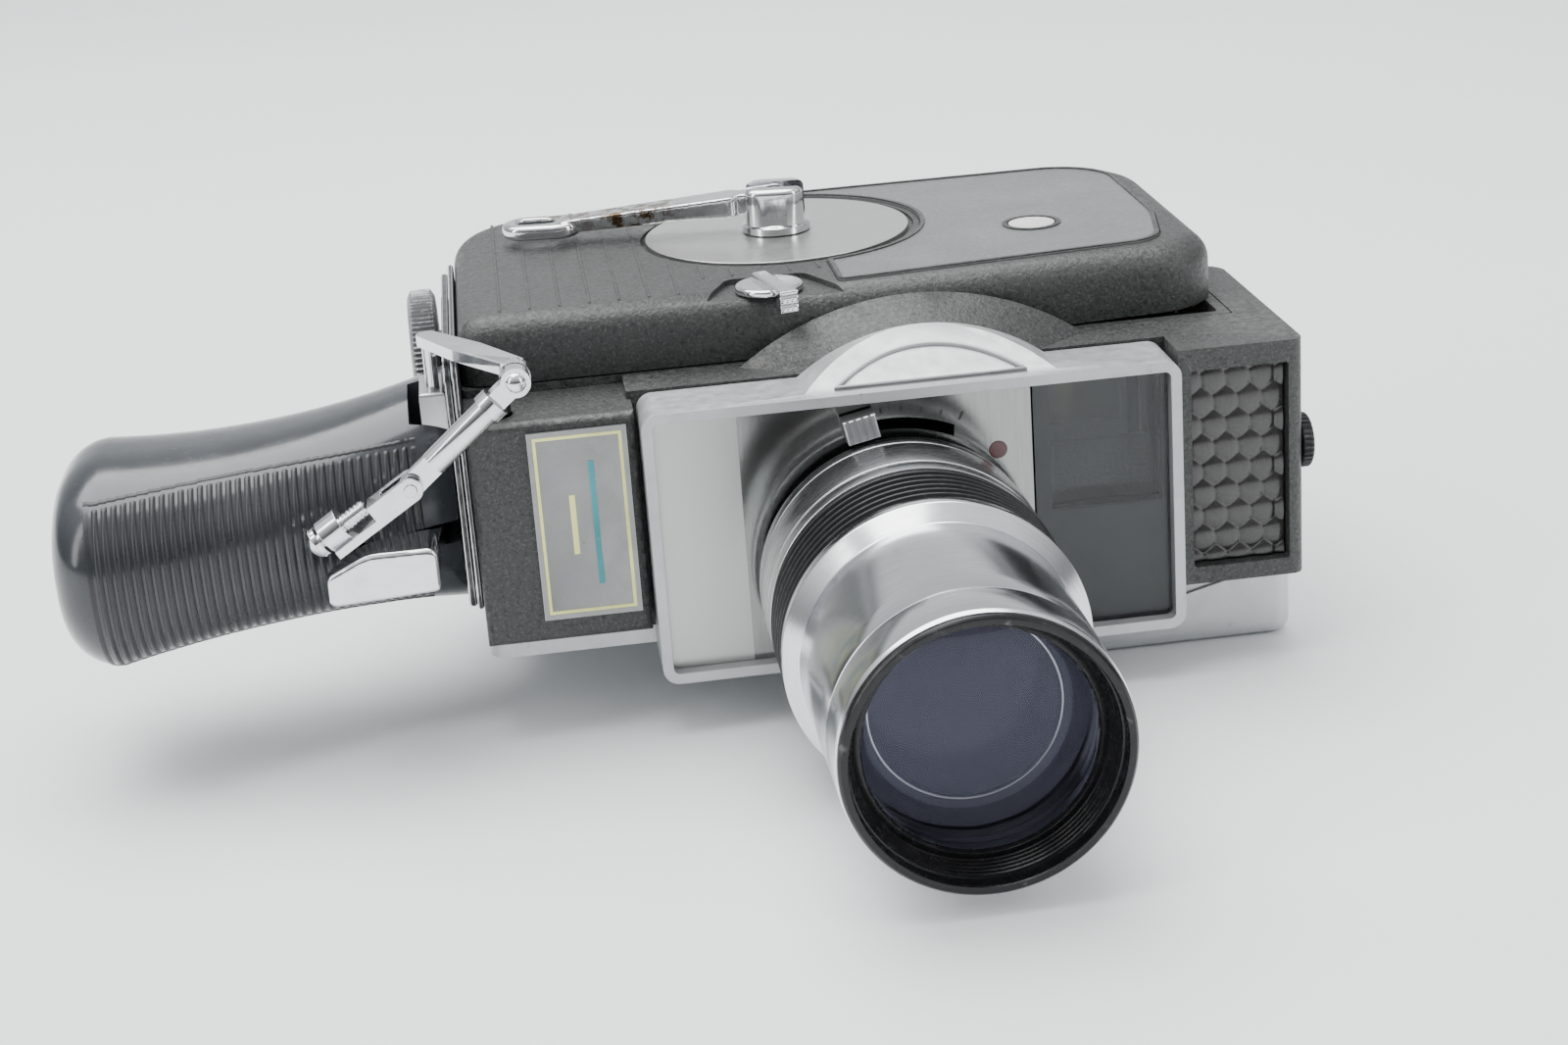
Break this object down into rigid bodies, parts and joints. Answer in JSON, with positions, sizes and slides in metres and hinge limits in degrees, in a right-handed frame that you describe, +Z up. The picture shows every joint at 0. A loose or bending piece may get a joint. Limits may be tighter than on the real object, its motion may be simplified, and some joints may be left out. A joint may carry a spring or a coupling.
{
  "type": "cine camera",
  "caption": "Spring-wound zoom cine camera with a photocell window, folding winding crank, film door and a pistol grip with a trigger and release linkage.",
  "frame": {"origin": "centre of the bounding box at its base, on the surface that the film door lies on", "axes": "+X to the top of the camera when it is held upright, -Y along the lens, +Z up, to the side with the winding crank"},
  "size_m": [0.2444, 0.209, 0.0899],
  "materials": {
    "body_enamel": "wrinkle enamel, satin",
    "side_enamel": "fine hammered enamel",
    "frame_paint": "silver paint, satin",
    "door_metal": "silver paint, satin",
    "face_metal": "brushed",
    "satin_metal": "satin",
    "polished_metal": "polished",
    "chrome": "bright, a little pitted",
    "knurled_metal": "knurled, dull",
    "black_metal": "satin black",
    "glass": "polished",
    "jewel": "polished",
    "cell_plastic": "moulded lenslets",
    "cell": "matt",
    "plate_print": "printed",
    "dial": "matt white",
    "grip_gloss": "glossy, scuffed",
    "grip_ribbed": "ribbed satin",
    "steel": "machined",
    "brass": "machined"
  },
  "bodies": {
    "camera": {"main_housing": "body_enamel", "front_housing": "body_enamel", "motor_cover": "body_enamel", "side_plate": "side_enamel", "hinge_bar": "steel", "front_frame": "frame_paint", "face_plate": "face_metal", "indicator_jewel": "jewel", "finder_window": "glass", "window_panel": "black_metal", "finder_lens": "glass", "cell_cover": "cell_plastic", "light_cell": "cell", "nameplate": "plate_print", "footage_window": "glass", "lens_mount": "satin_metal", "lens_barrel": "polished_metal", "lens_baffle": "face_metal", "winding_disc": "satin_metal", "mechanism_plate": "brass", "film_gate": "black_metal", "meter_movement": "steel", "base_plate": "satin_metal", "grip_bracket": "satin_metal", "grip_shell": "grip_gloss", "grip_panel": "grip_ribbed", "grip_block": "satin_metal", "case_screws": "steel"},
    "door": {"film_door": "door_metal"},
    "latch": {"door_latch": "steel"},
    "crank": {"crank_hub": "chrome", "spring_arbor": "steel"},
    "crank_handle": {"crank_arm": "chrome"},
    "barrel": {"spring_barrel": "brass", "mainspring": "steel"},
    "drive": {"drive_wheel": "brass"},
    "crown": {"crown_wheel": "brass"},
    "shutter_disc": {"shutter": "steel"},
    "takeup": {"takeup_spool": "steel"},
    "feed": {"feed_spool": "steel"},
    "footage": {"footage_dial": "dial"},
    "claw": {"film_claw": "steel"},
    "selector": {"selector_knob": "chrome"},
    "speed": {"speed_knob": "black_metal"},
    "filter_lever_body": {"filter_lever": "steel"},
    "filter_flag": {"filter_swing": "steel"},
    "zoom": {"zoom_ring": "black_metal"},
    "variator": {"zoom_group": "glass"},
    "focus": {"focus_ring": "polished_metal", "front_rim": "black_metal", "front_lens": "glass"},
    "clamp": {"clamp_screw": "knurled_metal"},
    "trigger_lever": {"trigger": "chrome"},
    "arm": {"release_arm": "chrome"},
    "sleeve": {"link_sleeve": "chrome"},
    "foot": {"link_foot": "chrome"},
    "thumb": {"thumb_screw": "chrome"},
    "button": {"release_button": "black_metal"},
    "eyecup": {"eyepiece": "black_metal", "eye_lens": "glass"}
  },
  "joints": [
    {"name": "door_hinge", "type": "hinge", "parent": "camera", "child": "door", "pos_m": [0.0418, 0.1024, 0.0167], "axis": [1, 0, 0], "range_deg": [0, 105]},
    {"name": "latch_turn", "type": "hinge", "parent": "door", "child": "latch", "pos_m": [0.0378, 0.0495, 0.001], "axis": [0, 0, -1], "range_deg": [0, 90]},
    {"name": "crank_spin", "type": "hinge", "parent": "camera", "child": "crank", "pos_m": [0.0262, 0.0615, 0.0803], "axis": [0, 0, 1], "continuous": true},
    {"name": "crank_fold", "type": "hinge", "parent": "crank", "child": "crank_handle", "pos_m": [0.0262, 0.0615, 0.0865], "axis": [0.1736, 0.9848, 0], "range_deg": [0, 100]},
    {"name": "barrel_spin", "type": "hinge", "parent": "camera", "child": "barrel", "pos_m": [0.0262, 0.0615, 0.0582], "axis": [0, 0, 1], "continuous": true},
    {"name": "drive_spin", "type": "hinge", "parent": "camera", "child": "drive", "pos_m": [0.0083, 0.03594, 0.0462], "axis": [0, 0, 1], "continuous": true},
    {"name": "crown_spin", "type": "hinge", "parent": "camera", "child": "crown", "pos_m": [0.03128, 0.03271, 0.0462], "axis": [0, 0, 1], "continuous": true},
    {"name": "shutter_spin", "type": "hinge", "parent": "camera", "child": "shutter_disc", "pos_m": [0.0509, 0.0084, 0.0359], "axis": [0, 1, 0], "continuous": true},
    {"name": "takeup_spin", "type": "hinge", "parent": "camera", "child": "takeup", "pos_m": [-0.0042, 0.0675, 0.0382], "axis": [0, 0, 1], "continuous": true},
    {"name": "feed_spin", "type": "hinge", "parent": "camera", "child": "feed", "pos_m": [0.0798, 0.0675, 0.0382], "axis": [0, 0, 1], "continuous": true},
    {"name": "footage_turn", "type": "hinge", "parent": "camera", "child": "footage", "pos_m": [0.0783, 0.045, 0.0682], "axis": [0, 0, 1], "continuous": true},
    {"name": "claw_stroke", "type": "slide", "parent": "camera", "child": "claw", "axis": [1, 0, 0], "range_m": [0, 0.0038]},
    {"name": "selector_turn", "type": "hinge", "parent": "camera", "child": "selector", "pos_m": [0.0192, 0.017, 0.0782], "axis": [0, 0, 1], "range_deg": [-32, 12]},
    {"name": "speed_turn", "type": "hinge", "parent": "camera", "child": "speed", "pos_m": [0.1193, -0.005, 0.0432], "axis": [1, 0, 0], "range_deg": [-150, 150]},
    {"name": "filter_turn", "type": "hinge", "parent": "camera", "child": "filter_lever_body", "pos_m": [0.0374, -0.0115, 0.0289], "axis": [0, 1, 0], "range_deg": [0, 30]},
    {"name": "filter_flag_turn", "type": "hinge", "parent": "camera", "child": "filter_flag", "pos_m": [0.0569, 0.0055, 0.0289], "axis": [0, 1, 0], "range_deg": [0, 60]},
    {"name": "zoom_turn", "type": "hinge", "parent": "camera", "child": "zoom", "pos_m": [0.0374, -0.0465, 0.0289], "axis": [0, 1, 0], "range_deg": [-60, 60]},
    {"name": "variator_slide", "type": "slide", "parent": "camera", "child": "variator", "axis": [0, 1, 0], "range_m": [-0.0022, 0.0026]},
    {"name": "focus_turn", "type": "hinge", "parent": "camera", "child": "focus", "pos_m": [0.0374, -0.0965, 0.0289], "axis": [0, 1, 0], "range_deg": [-20, 250]},
    {"name": "clamp_turn", "type": "hinge", "parent": "camera", "child": "clamp", "pos_m": [-0.0482, 0.0555, 0.0607], "axis": [1, 0, 0], "continuous": true},
    {"name": "trigger_pull", "type": "hinge", "parent": "camera", "child": "trigger_lever", "pos_m": [-0.0512, 0.0055, 0.0412], "axis": [0, 0, -1], "range_deg": [0, 8], "stiffness_Nm_per_rad": 0.25, "springref_deg": -2.86},
    {"name": "arm_swing", "type": "hinge", "parent": "camera", "child": "arm", "pos_m": [-0.0486, 0.0075, 0.0782], "axis": [0, 0, -1], "range_deg": [0, 8]},
    {"name": "sleeve_pivot", "type": "hinge", "parent": "arm", "child": "sleeve", "pos_m": [-0.0326, -0.0225, 0.0768], "axis": [0, 1, 0], "range_deg": [0, 1]},
    {"name": "foot_pivot", "type": "hinge", "parent": "sleeve", "child": "foot", "pos_m": [-0.0538, -0.0225, 0.0588], "axis": [0, 1, 0], "range_deg": [-1.5, 0]},
    {"name": "thumb_screw_turn", "type": "hinge", "parent": "foot", "child": "thumb", "pos_m": [-0.06704, -0.0225, 0.05285], "axis": [-0.8432, 0, -0.5377], "continuous": true},
    {"name": "release_press", "type": "slide", "parent": "camera", "child": "button", "axis": [0, 0, -1], "range_m": [0, 0.0018], "stiffness_N_per_m": 150, "springref_m": -0.001},
    {"name": "eyecup_focus", "type": "slide", "parent": "camera", "child": "eyecup", "axis": [0, 1, 0], "range_m": [0, 0.0015]}
  ],
  "couplings": [
    {"joint": "drive_spin", "follows": "barrel_spin", "ratio": -4.5714},
    {"joint": "crown_spin", "follows": "barrel_spin", "ratio": 14.367},
    {"joint": "shutter_spin", "follows": "barrel_spin", "ratio": 14.367},
    {"joint": "takeup_spin", "follows": "barrel_spin", "ratio": 2},
    {"joint": "footage_turn", "follows": "barrel_spin", "ratio": 0.1},
    {"joint": "filter_flag_turn", "follows": "filter_turn", "ratio": 2},
    {"joint": "variator_slide", "follows": "zoom_turn", "m_per_rad": 0.00191},
    {"joint": "arm_swing", "follows": "trigger_pull", "ratio": 0.93},
    {"joint": "sleeve_pivot", "follows": "trigger_pull", "ratio": 0.06},
    {"joint": "foot_pivot", "follows": "trigger_pull", "ratio": -0.06}
  ]
}
